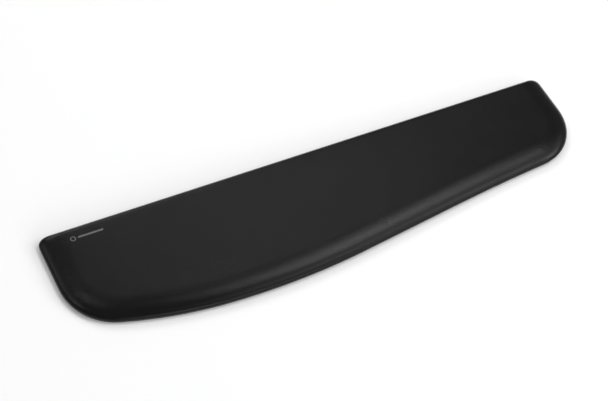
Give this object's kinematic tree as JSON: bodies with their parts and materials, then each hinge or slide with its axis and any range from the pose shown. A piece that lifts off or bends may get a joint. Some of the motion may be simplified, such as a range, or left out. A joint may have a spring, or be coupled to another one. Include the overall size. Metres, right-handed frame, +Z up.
{
  "type": "wrist rest",
  "caption": "Slim keyboard wrist rest with a bowed front edge: a leather-like cover wrapped round a gel and foam pad on a non-slip rubber base.",
  "frame": {"origin": "on the table, under the middle of the outline's bounding box", "axes": "+X along the long back edge, towards the narrow end; +Y towards the keyboard; +Z up"},
  "size_m": [0.428, 0.101, 0.01],
  "materials": {
    "leatherette": "satin embossed polyurethane leatherette",
    "knit_backing": "fine warp knit",
    "hot_melt_glue": "hot-melt film",
    "foam": "open-cell polyurethane foam",
    "clear_film": "clear polyurethane film",
    "gel": "translucent soft gel",
    "acrylic_glue": "double-sided acrylic sheet",
    "base_rubber": "matte natural rubber, fine non-slip relief",
    "grey_ink": "pad-printed ink"
  },
  "bodies": {
    "root": {"cover_skin": "leatherette", "cover_backing": "knit_backing", "hem_glue": "hot_melt_glue", "foam_core": "foam", "gel_film_lower": "clear_film", "gel_pad": "gel", "gel_film_upper": "clear_film", "base_glue": "acrylic_glue", "non_slip_base": "base_rubber", "printed_mark": "grey_ink"}
  },
  "joints": []
}
